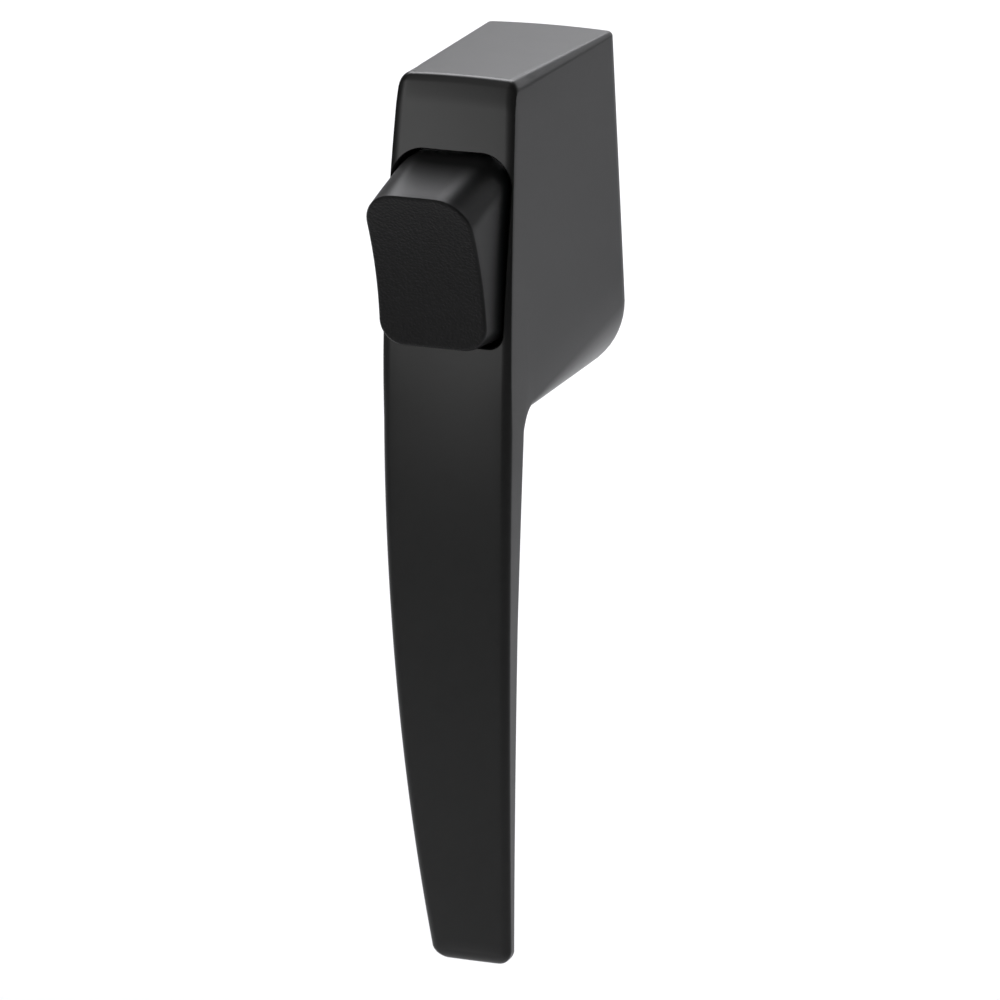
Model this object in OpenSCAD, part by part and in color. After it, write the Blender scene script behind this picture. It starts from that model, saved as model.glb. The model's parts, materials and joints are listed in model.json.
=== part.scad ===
// Push-button pull handle, the outside half of a light-door latch: a cast body with a
// hanging grip blade, a spring-returned thumb button and the push rod that works the
// latch on the other side of the door.
// Origin midway between the two fixing screws, on the door face. Front is -Y, up is +Z,
// the door fills the +Y side of y = 0. All sizes in mm.

/* [Body] */
// Distance between the two fixing screws
screw_spacing = 44.45; // [43.6:0.05:45.2]
// Height of the base above the mid-point of the screws
base_top = 30.4; // [30:0.1:31]
// Depth of the round bottom end of the base below the mid-point of the screws
base_bottom = 29.3; // [29.2:0.1:30.5]
// How far the underside climbs from the door to the neck of the blade
underside_rise = 3.9; // [2:0.1:4.2]
// Half-width of the base at its top corners
base_top_half_width = 11.3; // [11.2:0.05:11.8]
// Half-width of the base above its round bottom end, also the radius of that end
base_half_width = 13.7; // [13.5:0.1:14.2]
// Furthest point of the front face from the door
projection = 47.8; // [46.8:0.1:49]
// Height of the furthest point of the front face
belly_height = -33; // [-36:0.5:-30]
// Radius of the long curve of the front face
front_curve = 362; // [350:1:380]
// Radius of the long curve of the blade's back
back_curve = 365; // [355:1:380]
// Half-width of the front face at its widest
front_half_width = 11.25; // [11.2:0.05:11.6]
// Height at which the front face is widest
widest_height = -20; // [-24:0.5:-16]
// Radius of the long curve of the front face's sides
side_curve = 1240; // [1200:10:1400]
// Height of the lower end of the blade
tip_height = -123.6; // [-125:0.2:-116]
// Rounding of the front and top edges
edge_round = 1.6; // [1.2:0.1:1.8]
// Wall thickness of the cast block
wall = 2.1; // [1.9:0.1:2.3]

/* [Button] */
// Half-width of the button where it slides in the body
button_half_width = 9.6; // [9.4:0.05:9.8]
// Gap all round between the button and its opening
button_gap = 0.65; // [0.5:0.05:0.8]
// Top of the button where it slides in the body
button_top = 17.7; // [17.4:0.1:17.9]
// Bottom of the button
button_bottom = -12.8; // [-13:0.1:-12]
// How far the top edge of the thumb face stands from the door
face_top_reach = 62.2; // [61:0.1:63]
// How far the bottom edge of the thumb face stands from the door
face_bottom_reach = 53; // [52.6:0.1:54]
// Depth of the hollow of the thumb face
thumb_hollow = 2.1; // [0.4:0.1:2.2]
// How far the button can be pressed
button_travel = 6; // [4:0.5:6]

/* [Plunger] */
// Diameter of the push rod
rod_diameter = 5; // [4.8:0.1:5.2]
// How far the rod stands out behind the door face
rod_reach = 26; // [16:1:27]
// Diameter of the spring wire
wire_diameter = 0.8; // [0.6:0.1:0.9]
// Number of turns of the return spring
spring_turns = 10; // [8:1:12]

/* [Hidden] */
$fn = 48;
e = 0.01;
black = [0.05, 0.05, 0.055];
steel = [0.62, 0.63, 0.65];
brass = [0.72, 0.56, 0.26];
nylon = [0.86, 0.85, 0.80];

bow_height = base_half_width - base_bottom;        // centre of the round bottom end
neck_r = 3.5;                                      // hollow round where blade meets block
blade_back = projection - 6.8;                     // furthest point of the blade's back
blade_back_z = -48;
neck_f = blade_back - 0.5 - neck_r;                // where the underside ends
neck_z = underside_rise - base_bottom;
fan_f = 34;                                        // where the sections start to fan round
crown = 0.3;                                       // swell of the top and front faces
rod_r = rod_diameter / 2;
plate_f = 10;                                      // rear face of the guide plate
plate_t = 1.5;
bush_flange_t = 1.2;
seat_t = 0.8;
seat_f = plate_f + plate_t + bush_flange_t;        // rear face of the spring seat
spring_f0 = seat_f + seat_t + 0.05;
web_f = 49.5;                                      // inner face of the button's front wall
stem_r = 4.7;
skirt_f = 36;                                      // rear edge of the button
face_top = button_top - 3.2;                       // top edge of the thumb face
face_round = 0.7;                                  // rounding of the face's rim
button_wall = 1.7;
insert_f = 36.4;                                   // rear face of the brass insert
nut_f = 32;                                        // rear face of the lock nut
nut_h = 3.9;
thread_f = 29.4;                                   // where the rod's thread starts
boss_r = 3.5;
opening_w = button_half_width + button_gap;
spring_r = stem_r + 0.4 + wire_diameter / 2;
rib_f = skirt_f - button_travel - 1.5;             // front end of the screw ribs
clip_f = plate_f - 1.75;                           // rear face of the stop clip
clip_t = 0.7;
screw_x = 8.3;                                     // the plate's two small screws
fixing_r = 1.65;                                   // core radius of the fixing screws
fixing_depth = 16;
pilot_r = 1.25;                                    // pilot holes of the plate screws
rib_x = 6.5;                                       // inner faces of the ribs under the plate
rib_half = 3;
shelf_t = 1.6;                                     // shelf under the button
plate_half_width = 9.6;
plate_half_height = 15.5;
plate_hole_r = 4;
channel_wall = 2.3;                                // metal left round the blade's channel
seat_r = rib_x - 0.15;
flange_r = rib_x - 0.3;                            // flange of the guide bush
insert_r = 3.5;
insert_h = 10;
tip_r = 2.8;                                       // rounding of the blade's lower end

// ---- long curves of the casting: reach from the door and half-width at a height ----
function front_f(z) = projection - pow(z - belly_height, 2) / (2 * front_curve);
function back_f(z) = blade_back - pow(z - blade_back_z, 2) / (2 * back_curve);
function front_w(z) = front_half_width - pow(z - widest_height, 2) / (2 * side_curve);
function mix(a, b, t) = a + (b - a) * t;
function clamp01(t) = min(1, max(0, t));
function base_w(z) = z > bow_height
    ? mix(base_half_width, base_top_half_width, (z - bow_height) / (base_top - bow_height))
    : mix(front_w(z), base_half_width, clamp01((z + 62) / 32));
function half_w(f, z) = mix(front_w(z), base_w(z), clamp01(1 - f / front_f(z)));

// ---- outer skin: rings that run from the door through the block, fan round the neck
// and go down the blade. Each ring is [inner point, outer point, inner round, outer round,
// inset], with the points as [reach, height] in the side view. ----
block_steps = 8;
block_rings = [for (i = [0:block_steps]) let (t = i / block_steps, f = neck_f * t)
    [[f, mix(-base_bottom, neck_z, t)], [fan_f * t, base_top],
     mix(base_half_width - 0.4, 1.6, t), mix(0.8, 1.8, t), 0]];

corner_f = front_f(base_top) - edge_round;
corner_z = base_top - edge_round;
fan_outer = concat(
    [for (i = [1:3]) [mix(fan_f, corner_f, i / 3), base_top]],
    [for (i = [1:5]) let (a = i * 16) [corner_f + edge_round * sin(a), corner_z + edge_round * cos(a)]],
    [for (i = [1:14]) let (z = mix(corner_z, neck_z - neck_r, pow(i / 14, 0.9))) [front_f(z), z]]);
fan_n = len(fan_outer);
fan_rings = [for (i = [0:fan_n - 1]) let (t = (i + 1) / fan_n, a = 90 * t)
    [[neck_f + neck_r * sin(a), neck_z - neck_r + neck_r * cos(a)], fan_outer[i],
     mix(1.6, 1.3, t), mix(2, edge_round, clamp01(t * 2)), 0]];

blade_steps = 18;
blade_rings = [for (i = [1:blade_steps])
    let (z = mix(neck_z - neck_r, tip_height + tip_r, i / blade_steps))
    [[back_f(z), z], [front_f(z), z], mix(1.3, 1, i / blade_steps),
     mix(edge_round, 1.5, i / blade_steps), 0]];
tip_rings = [for (i = [1:5]) let (a = 90 * i / 5, z = tip_height + tip_r - tip_r * sin(a),
    g = tip_r * (1 - cos(a)))
    [[back_f(z) + 0.45 * g, z], [front_f(z) - 0.6 * g, z], mix(0.9, 0.3, i / 5), mix(1.4, 0.3, i / 5), g]];

rings = concat(block_rings, fan_rings, blade_rings, tip_rings);

// one half of a ring, from the middle of the inner side to the middle of the outer side
function half_ring(r) = let (
    p = r[0], q = r[1], len = norm(q - p), d = (q - p) / len,
    ri = min(r[2], len / 2 - 0.02), ro = min(r[3], len / 2 - 0.02),
    at = function (t) half_w((p + d * t)[0], (p + d * t)[1]) - r[4],
    rx = min(r[2], at(ri)), ox = min(r[3], at(len - ro)))
    concat(
        [for (i = [0:1]) [(at(0) - rx) * i / 2, 0]],
        [for (i = [0:6]) let (a = 15 * i) [at(ri) - rx + rx * sin(a), ri - ri * cos(a)]],
        [for (i = [1:3]) let (t = mix(ri, len - ro, i / 4)) [at(t), t]],
        [for (i = [0:5]) let (a = 18 * i) [at(len - ro) - ox + ox * cos(a), len - ro + ro * sin(a)]],
        [for (i = [1:3]) [(at(len - ro) - ox) * (1 - i / 3), len]]);
function ring_points(r) = let (
    p = r[0], q = r[1], len = norm(q - p), d = (q - p) / len, h = half_ring(r), n = len(h),
    both = concat([for (i = [0:n - 1]) [-h[i][0], h[i][1]]], [for (i = [n - 2:-1:1]) h[i]]))
    [for (v = both) let (c = crown * clamp01((v[1] - len * 0.6) / (len * 0.4))
        * (1 - pow(v[0] / half_w(q[0], q[1]), 2)) * (r[4] > 0 ? 0.5 : 1),
        s = p + d * (v[1] + c - crown * clamp01((v[1] - len * 0.6) / (len * 0.4))))
        [v[0], -s[0], s[1]]];

module tube(points, n, rows, c0, c1) {
    last = (rows - 1) * n;
    sides = [for (i = [0:rows - 2], k = [0:n - 1])
        let (a = i * n + k, b = i * n + (k + 1) % n) each
        [[a, b, b + n], [a, b + n, a + n]]];
    polyhedron(concat(points, [c0, c1]), concat(sides,
        [for (k = [0:n - 1]) [rows * n, (k + 1) % n, k]],
        [for (k = [0:n - 1]) [rows * n + 1, last + k, last + (k + 1) % n]]));
}

module outer_skin() {
    sets = [for (r = rings) ring_points(r)];
    tip = rings[len(rings) - 1];
    tube([for (s = sets) each s], len(sets[0]), len(sets), [0, 0, 0],
        [0, -(tip[0][0] + tip[1][0]) / 2, tip_height]);
}

// a closed outline in X and height, round top corners rt and round bottom corners rb,
// n steps to a corner and m points along each side
function outline(wt, wb, zt, zb, rt, rb, n = 7, m = 0) = concat(
    [for (i = [0:n]) let (a = 90 * i / n) [wt - rt + rt * cos(a), zt - rt + rt * sin(a)]],
    [for (i = [0:n]) let (a = 90 + 90 * i / n) [-wt + rt + rt * cos(a), zt - rt + rt * sin(a)]],
    [for (i = [1:m]) let (t = i / (m + 1)) [-mix(wt, wb, t), mix(zt - rt, zb + rb, t)]],
    [for (i = [0:n]) let (a = 180 + 90 * i / n) [-wb + rb + rb * cos(a), zb + rb + rb * sin(a)]],
    [for (i = [0:n]) let (a = 270 + 90 * i / n) [wb - rb + rb * cos(a), zb + rb + rb * sin(a)]],
    [for (i = [m:-1:1]) let (t = i / (m + 1)) [mix(wt, wb, t), mix(zt - rt, zb + rb, t)]]);

// things drawn flat in X and height are stood up: from reach f0 to reach f1
module stand(f0, f1) {
    translate([0, -f0, 0]) rotate([90, 0, 0]) linear_extrude(f1 - f0) children();
}
// a round bar along Y from reach f0 to reach f1
module bar(r, f0, f1, x = 0, z = 0) {
    translate([x, -f0, z]) rotate([90, 0, 0]) cylinder(r = r, h = f1 - f0);
}

module block_hollow() {
    hull() {
        stand(-0.5, -0.5 + e)
            polygon(outline(base_top_half_width - wall + 0.1, base_half_width - wall,
                base_top - 2.4, -base_bottom + wall, 2, base_half_width - wall - 0.02));
        translate([0, -(front_f(base_top) - 3.3), base_top - 2.6]) rotate([-5.9, 0, 0])
            translate([0, 0, -base_top + 2.6])
            stand(0, e) polygon(outline(8.3, 9.2, base_top - 2.6, neck_z + 3.9, 1.8, 3));
    }
}

module handle_body() {
    color(black) difference() {
        outer_skin();
        difference() {
            block_hollow();
            for (s = [-1, 1]) {
                bar(boss_r, -1, 46, 0, s * screw_spacing / 2);
                translate([-0.9, -46, s > 0 ? screw_spacing / 2 + 1 : -screw_spacing / 2 - 9])
                    cube([1.8, 47, 8]);
                // ribs that carry the guide plate
                translate([s > 0 ? rib_x : -rib_x - 8, -46, -rib_half])
                    cube([8, 46 - plate_f - plate_t, 2 * rib_half]);
            }
            // shelf the button slides on
            translate([-14.5, -46, button_bottom - button_gap - shelf_t])
                cube([29, 46 - rib_f - 0.3, shelf_t + 0.5]);
        }
        // opening the button slides in
        stand(rib_f, 70) polygon(outline(opening_w, opening_w - 0.4, button_top + button_gap,
            button_bottom - button_gap, 5.4, 2.4));
        // threaded holes for the fixing screws, as core diameter
        for (s = [-1, 1]) bar(fixing_r, -1, fixing_depth, 0, s * screw_spacing / 2);
        // pilot holes for the plate screws
        for (s = [-1, 1]) bar(pilot_r, plate_f - 1, plate_f + plate_t + 9, s * screw_x, 0);
        // lightening channel along the back of the blade
        hull() for (z = [-44, -60, -78, -96, tip_height + 9])
            translate([-(front_w(z) - channel_wall), -(front_f(z) - channel_wall), z])
                cube([2 * (front_w(z) - channel_wall), 10, e]);
    }
}

// ---- thumb button ----
// reach of the thumb face: it leans back and is hollowed between its top and bottom edges
function face_f(x, z) = let (t = (z - button_bottom) / (face_top - button_bottom))
    mix(face_bottom_reach, face_top_reach, t)
    - thumb_hollow * (1 - pow(2 * t - 1, 2)) - 0.3 * (1 - pow(x / button_half_width, 2));
// outline of the button at v, from 0 at its rear edge to 1 at the face, drawn in by g
function button_outline(v, g) = let (u = clamp01((v - 0.34) / 0.66))
    outline(mix(button_half_width, 9.25, u) - g, mix(button_half_width, 9.4, u) - g,
        mix(button_top, face_top, u) - g, button_bottom + g,
        mix(5, 5.8, u) - g, mix(2.2, 4.2, u) - g * 0.9, 8, 6);

module button_skin() {
    walls = [for (i = [0:7]) [i / 7, 0, 0]];
    rim = [for (a = [18:18:90]) [1, face_round * (1 - cos(a)), face_round * sin(a)]];
    face = [for (g = [1.6, 2.6, 3.6]) [1, g, face_round]];
    rings = [for (s = concat(walls, rim, face)) [for (p = button_outline(s[0], s[1]))
        [p[0], -mix(skirt_f, face_f(p[0], p[1]) - face_round, s[0]) - s[2], p[1]]]];
    n = len(rings[0]);
    last = (len(rings) - 1) * n;
    sides = [for (i = [0:len(rings) - 2], k = [0:n - 1])
        let (a = i * n + k, b = i * n + (k + 1) % n) each
        [[a, b + n, b], [a, a + n, b + n]]];
    back = [for (k = [0:n - 1]) [last + n, k, (k + 1) % n]];
    // the middle of the face is strips from its right half to its left half, top to bottom
    strips = [for (k = [0:n / 2 - 2])
        let (r0 = last + (8 - k + n) % n, r1 = last + (7 - k + n) % n, l0 = last + 9 + k) each
        [[r0, r1, l0 + 1], [r0, l0 + 1, l0]]];
    polyhedron(concat([for (r = rings) each r], [[0, -skirt_f, 0]]), concat(sides, back, strips));
}

module push_button() {
    color([0.06, 0.06, 0.065]) difference() {
        button_skin();
        difference() {
            union() {
                stand(skirt_f - 1, web_f) polygon(outline(button_half_width - button_wall,
                    button_half_width - button_wall, button_top - button_wall - 0.2,
                    button_bottom + button_wall, 3.4, 1.2));
                // deeper pocket behind the thick upper part of the face
                stand(web_f - 1, web_f + 5) polygon(outline(6, 6.6, 12.3, 6.4, 2, 0.6));
            }
            bar(stem_r, skirt_f, web_f + 1);
        }
        bar(insert_r + 0.02, skirt_f - 1, insert_f + insert_h + 0.6);
    }
}

module button_insert() {
    color(brass) translate([0, -insert_f, 0]) rotate([90, 0, 0]) rotate_extrude()
        // two grooves round the outside lock it in the plastic
        polygon(concat([[rod_r, 0], [insert_r - 0.3, 0], [insert_r, 0.4]],
            [for (h = [3, 7.4]) each [[insert_r, h], [insert_r - 0.3, h + 0.3],
                [insert_r - 0.3, h + 1.2], [insert_r, h + 1.5]]],
            [[insert_r, insert_h - 0.4], [insert_r - 0.3, insert_h], [rod_r, insert_h]]));
}

module plunger_rod() {
    pitch = 0.8;
    major = rod_r - 0.06;
    minor = rod_r - 0.42;
    turns = 20;
    groove0 = clip_f - 0.05;
    color(steel) translate([0, rod_reach, 0]) rotate([90, 0, 0]) rotate_extrude()
        polygon(concat(
            [[0, 0], [rod_r - 0.8, 0], [rod_r, 0.8], [rod_r, rod_reach + groove0],
             [rod_r - 0.5, rod_reach + groove0], [rod_r - 0.5, rod_reach + groove0 + clip_t + 0.1],
             [rod_r, rod_reach + groove0 + clip_t + 0.1], [rod_r, rod_reach + thread_f - 0.5],
             [minor, rod_reach + thread_f]],
            [for (i = [0:turns - 1]) each [
                [major, rod_reach + thread_f + pitch * (i + 0.42)],
                [major, rod_reach + thread_f + pitch * (i + 0.58)],
                [minor, rod_reach + thread_f + pitch * (i + 1)]]],
            [[0, rod_reach + thread_f + pitch * turns]]));
}

module lock_nut() {
    across = 4 / cos(30);
    color(steel) difference() {
        translate([0, -nut_f, 0]) rotate([90, 0, 0]) intersection() {
            cylinder(r = across, h = nut_h, $fn = 6);
            rotate_extrude() polygon([[0, 0], [3.9, 0], [across + e, 0.45],
                [across + e, nut_h - 0.45], [3.9, nut_h], [0, nut_h]]);
        }
        bar(rod_r, nut_f - 1, nut_f + nut_h + 1);
    }
}

module return_spring() {
    w = wire_diameter / 2;
    f0 = spring_f0 + w;
    f1 = web_f - 0.05 - w;
    steps = 20 * spring_turns;
    sides = 8;
    // the pitch closes up over the last turn at each end
    rise = function (t) let (c = 1 / spring_turns, m = (f1 - f0 - 4 * w) / (1 - 2 * c))
        t < c ? 2 * w * t / c : t > 1 - c ? f1 - f0 - 2 * w * (1 - t) / c
        : 2 * w + m * (t - c);
    rows = [for (i = [0:steps]) let (t = i / steps, a = 360 * spring_turns * t, f = f0 + rise(t))
        [for (j = [0:sides - 1]) let (b = 360 * j / sides, r = spring_r + w * cos(b))
            [r * sin(a), -f - w * sin(b), r * cos(a)]]];
    color(steel) tube([for (r = rows) each r], sides, steps + 1,
        [0, -f0, spring_r], [0, -f1, spring_r]);
}

module spring_seat() {
    color(steel) translate([0, -seat_f, 0]) rotate([90, 0, 0]) rotate_extrude()
        polygon([[rod_r + 1.6, 0], [seat_r - 0.2, 0], [seat_r, 0.2], [seat_r, seat_t],
            [rod_r + 1.6, seat_t]]);
}

module guide_bush() {
    color(nylon) translate([0, -plate_f, 0]) rotate([90, 0, 0]) rotate_extrude()
        let (bore = rod_r + 0.06, sleeve = plate_hole_r - 0.03, nose = plate_hole_r - 0.1,
            flange0 = plate_t + e, flange1 = plate_t + bush_flange_t - e, end = flange1 + 1.9)
        polygon([[bore, 0], [sleeve, 0], [sleeve, flange0], [flange_r, flange0],
            [flange_r, flange1], [nose, flange1], [nose, end - 0.3], [nose - 0.3, end],
            [bore, end]]);
}

module guide_plate() {
    color(steel) difference() {
        stand(plate_f, plate_f + plate_t) polygon(outline(plate_half_width, plate_half_width,
            plate_half_height, -plate_half_height, 2.2, 2.2));
        bar(plate_hole_r, plate_f - 1, plate_f + plate_t + 1);
        for (s = [-1, 1]) {
            bar(1.5, plate_f - 1, plate_f + plate_t + 1, s * screw_x, 0);
            // notches that clear the screw bosses
            bar(boss_r + 0.3, plate_f - 1, plate_f + plate_t + 1, 0, s * (screw_spacing / 2 - 4));
        }
    }
}

module plate_screws() {
    color(steel) for (s = [-1, 1]) translate([s * screw_x, -plate_f, 0]) rotate([90, 0, 0])
        difference() {
            rotate_extrude() polygon([[0, -1.3], [1, -1.3], [1.7, -1.0], [2.1, -0.5], [2.1, 0],
                [1.2, 0], [1.2, 6.8], [0.5, 8], [0, 8]]);
            for (a = [0, 90]) rotate(a) translate([-1.1, -0.22, -1.4]) cube([2.2, 0.44, 0.8]);
        }
}

module stop_washer() {
    color(nylon) difference() {
        bar(5, plate_f - 1, plate_f - 0.05);
        bar(rod_r + 0.1, plate_f - 2, plate_f + 1);
    }
}

module stop_clip() {
    color(steel) stand(clip_f, clip_f + clip_t) difference() {
        circle(r = 4.8);
        circle(r = rod_r - 0.48);
        translate([-(rod_r - 0.55), -6]) square([2 * (rod_r - 0.55), 6]);
        for (a = [45, 135]) rotate(a) translate([rod_r + 0.5, 0]) circle(r = 1.1);
    }
}

handle_body();
push_button();
button_insert();
plunger_rod();
lock_nut();
return_spring();
spring_seat();
guide_bush();
guide_plate();
plate_screws();
stop_washer();
stop_clip();
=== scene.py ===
import json
import math

import bmesh
import bpy
from mathutils import Matrix, Vector


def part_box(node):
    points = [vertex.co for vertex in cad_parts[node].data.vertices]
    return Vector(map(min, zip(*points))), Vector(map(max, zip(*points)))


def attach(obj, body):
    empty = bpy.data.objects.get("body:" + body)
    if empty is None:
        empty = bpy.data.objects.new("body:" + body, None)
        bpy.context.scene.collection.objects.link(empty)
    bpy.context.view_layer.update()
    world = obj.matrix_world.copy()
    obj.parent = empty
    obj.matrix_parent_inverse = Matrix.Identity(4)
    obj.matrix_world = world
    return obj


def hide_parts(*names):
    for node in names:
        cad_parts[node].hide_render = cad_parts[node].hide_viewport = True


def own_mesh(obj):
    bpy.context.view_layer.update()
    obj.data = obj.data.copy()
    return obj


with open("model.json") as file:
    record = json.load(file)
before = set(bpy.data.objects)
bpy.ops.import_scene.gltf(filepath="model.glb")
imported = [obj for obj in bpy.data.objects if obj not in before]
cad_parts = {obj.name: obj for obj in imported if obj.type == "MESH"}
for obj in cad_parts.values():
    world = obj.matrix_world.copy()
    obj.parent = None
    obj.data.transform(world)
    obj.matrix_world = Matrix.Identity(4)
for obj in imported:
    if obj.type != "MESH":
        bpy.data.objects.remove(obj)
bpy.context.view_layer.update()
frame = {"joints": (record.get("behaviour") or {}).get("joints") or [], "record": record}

# Everything below is worked out in millimetres. "Reach" is the distance from the door,
# so a point [x, reach, z] lies at y = -reach.
MM = 0.001
RECORD = frame["record"]
MOUNTS = {m["name"]: m for m in RECORD["mounts"]}


def box_mm(node):
    """A CAD node's box as x, reach and z limits in mm."""
    low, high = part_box(node)
    return ((low.x / MM, high.x / MM), (-high.y / MM, -low.y / MM), (low.z / MM, high.z / MM))


# ---------------------------------------------------------------- dimensions
BODY_X, _, BODY_Z = box_mm("handle_body")
BUTTON_X, BUTTON_F, BUTTON_Z = box_mm("push_button")
PLATE_X, PLATE_F, PLATE_Z = box_mm("guide_plate")
BUSH_X, BUSH_F, _ = box_mm("guide_bush")
SEAT_X, SEAT_F, _ = box_mm("spring_seat")
SPRING_X, SPRING_F, _ = box_mm("return_spring")
_, ROD_F, _ = box_mm("plunger_rod")
NUT_X, NUT_F, NUT_Z = box_mm("lock_nut")
INSERT_X, INSERT_F, _ = box_mm("button_insert")
WASHER_X, WASHER_F, _ = box_mm("stop_washer")
CLIP_X, CLIP_F, _ = box_mm("stop_clip")

SCREW_Z = MOUNTS["fixing_screws"]["dims"]["spacing_y_mm"] / 2
SCREW_R = MOUNTS["fixing_screws"]["dims"]["hole_r_mm"]
ROD_R = MOUNTS["plunger_tip"]["dims"]["r_mm"]
TRAVEL = frame["joints"][0]["range_m"][1] / MM

BASE_TOP = 30.4
TIP_Z = BODY_Z[0]
PROJECTION = 47.8
BASE_HALF = BODY_X[1]
BASE_TOP_HALF = 11.3
BASE_BOTTOM = 29.3
UNDERSIDE_RISE = 3.9
BELLY_Z = -33
FRONT_CURVE = 362
BACK_CURVE = 365
FRONT_HALF = 11.25
WIDEST_Z = -20
SIDE_CURVE = 1240
EDGE_ROUND = 1.6
WALL = 2.1
BOW_Z = BASE_HALF - BASE_BOTTOM
BLADE_BACK = PROJECTION - 6.8
BLADE_BACK_Z = -48
NECK_R = 3.5
NECK_F = BLADE_BACK - 0.5 - NECK_R
NECK_Z = UNDERSIDE_RISE - BASE_BOTTOM
FAN_F = 34
CROWN = 0.3
TIP_R = 2.8
BUTTON_HALF = BUTTON_X[1]
BUTTON_TOP = BUTTON_Z[1]
BUTTON_BOTTOM = BUTTON_Z[0]
BUTTON_GAP = 0.64
SKIRT_F = BUTTON_F[0]
FACE_TOP = BUTTON_TOP - 3.2
FACE_TOP_F = 62.2
FACE_BOTTOM_F = 53.0
THUMB_HOLLOW = 2.1
FACE_ROUND = 0.7
FACE_INSET = 0.02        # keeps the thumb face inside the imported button's box
WEB_F = 49.5
STEM_R = 4.7
RIB_F = SKIRT_F - TRAVEL - 1.5
PLATE_SCREW_X = 8.3
SHELF_T = 1.6
SHELF_HALF = 10.4
SHELF_FRONT_F = 45.2
SHELF_DROP = 0.05        # keeps the shelf's top off the opening's lower wall, where the union fails


def mix(a, b, t):
    return a + (b - a) * t


def clamp01(t):
    return min(1.0, max(0.0, t))


def smooth01(t):
    t = clamp01(t)
    return t * t * (3 - 2 * t)


# ---------------------------------------------------------------- the casting's long curves
def front_f(z):
    return PROJECTION - (z - BELLY_Z) ** 2 / (2 * FRONT_CURVE)


def back_f(z):
    return BLADE_BACK - (z - BLADE_BACK_Z) ** 2 / (2 * BACK_CURVE)


def front_w(z):
    return FRONT_HALF - (z - WIDEST_Z) ** 2 / (2 * SIDE_CURVE)


def base_w(z):
    if z > BOW_Z:
        return mix(BASE_HALF, BASE_TOP_HALF, (z - BOW_Z) / (BASE_TOP - BOW_Z))
    return mix(front_w(z), BASE_HALF, clamp01((z + 62) / 32))


def half_w(f, z):
    return mix(front_w(z), base_w(z), clamp01(1 - f / front_f(z)))


# ---------------------------------------------------------------- mesh helpers
def new_object(name, verts_mm, faces, sharp_deg=35):
    """A mesh piece from points [x, reach, z] in mm, smooth but for edges over sharp_deg."""
    mesh = bpy.data.meshes.new(name)
    mesh.from_pydata([(x * MM, -f * MM, z * MM) for x, f, z in verts_mm], [], faces)
    obj = bpy.data.objects.new(name, mesh)
    bpy.context.scene.collection.objects.link(obj)
    tidy_mesh(obj, sharp_deg)
    return obj


def tidy_mesh(obj, sharp_deg=35, weld=0.002):
    """Welds doubles, turns the faces outwards and sets which edges are sharp."""
    bm = bmesh.new()
    bm.from_mesh(obj.data)
    bmesh.ops.remove_doubles(bm, verts=bm.verts, dist=weld * MM)
    bmesh.ops.dissolve_degenerate(bm, edges=bm.edges, dist=weld * MM)
    # small gaps left where two cuts meet at a sliver
    bmesh.ops.holes_fill(bm, edges=[edge for edge in bm.edges if edge.is_boundary], sides=12)
    bmesh.ops.recalc_face_normals(bm, faces=bm.faces)
    bm.to_mesh(obj.data)
    bm.free()
    obj.data.shade_smooth()
    obj.data.set_sharp_from_angle(angle=math.radians(sharp_deg))


def apply_modifier(obj, modifier):
    bpy.context.view_layer.objects.active = obj
    with bpy.context.temp_override(object=obj, active_object=obj, selected_objects=[obj]):
        bpy.ops.object.modifier_apply(modifier=modifier.name)


def combine(obj, tool, operation):
    """Applies an exact boolean of obj with tool, and deletes the tool."""
    modifier = obj.modifiers.new("boolean", "BOOLEAN")
    modifier.operation = operation
    modifier.solver = "EXACT"
    modifier.object = tool
    apply_modifier(obj, modifier)
    mesh = tool.data
    bpy.data.objects.remove(tool)
    bpy.data.meshes.remove(mesh)


def cut(obj, *tools):
    for tool in tools:
        combine(obj, tool, "DIFFERENCE")


def bevel(obj, width, segments=3, angle=40):
    modifier = obj.modifiers.new("bevel", "BEVEL")
    modifier.width = width * MM
    modifier.segments = segments
    modifier.limit_method = "ANGLE"
    modifier.angle_limit = math.radians(angle)
    modifier.miter_outer = "MITER_ARC"
    apply_modifier(obj, modifier)


def loft(name, rings, sharp_deg=35):
    """A closed skin through rings of equal length, with a flat cap at each end."""
    n = len(rings[0])
    verts = [p for ring in rings for p in ring]
    faces = [(i * n + k, i * n + (k + 1) % n, (i + 1) * n + (k + 1) % n, (i + 1) * n + k)
             for i in range(len(rings) - 1) for k in range(n)]
    faces += [tuple(range(n - 1, -1, -1)), tuple((len(rings) - 1) * n + k for k in range(n))]
    return new_object(name, verts, faces, sharp_deg)


def outline(wt, wb, zt, zb, rt, rb, steps=10, side=0, across=0):
    """A rounded outline in x and z, anticlockwise from the right end of the top right corner.
    side adds points along each flank, across along the top and the bottom."""
    def corner(cx, cz, r, start):
        return [(cx + r * math.cos(math.radians(start + 90 * i / steps)),
                 cz + r * math.sin(math.radians(start + 90 * i / steps))) for i in range(steps + 1)]

    def between(a, b, count):
        return [(mix(a[0], b[0], (i + 1) / (count + 1)), mix(a[1], b[1], (i + 1) / (count + 1)))
                for i in range(count)]
    corners = [corner(wt - rt, zt - rt, rt, 0), corner(-wt + rt, zt - rt, rt, 90),
               corner(-wb + rb, zb + rb, rb, 180), corner(wb - rb, zb + rb, rb, 270)]
    points = []
    for i, count in enumerate((across, side, across, side)):
        points += corners[i] + between(corners[i][-1], corners[(i + 1) % 4][0], count)
    return points


def stand(name, points, f0, f1, sharp_deg=35):
    """An x, z outline pulled from reach f0 to reach f1."""
    return loft(name, [[(x, f, z) for x, z in points] for f in (f0, f1)], sharp_deg)


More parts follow.
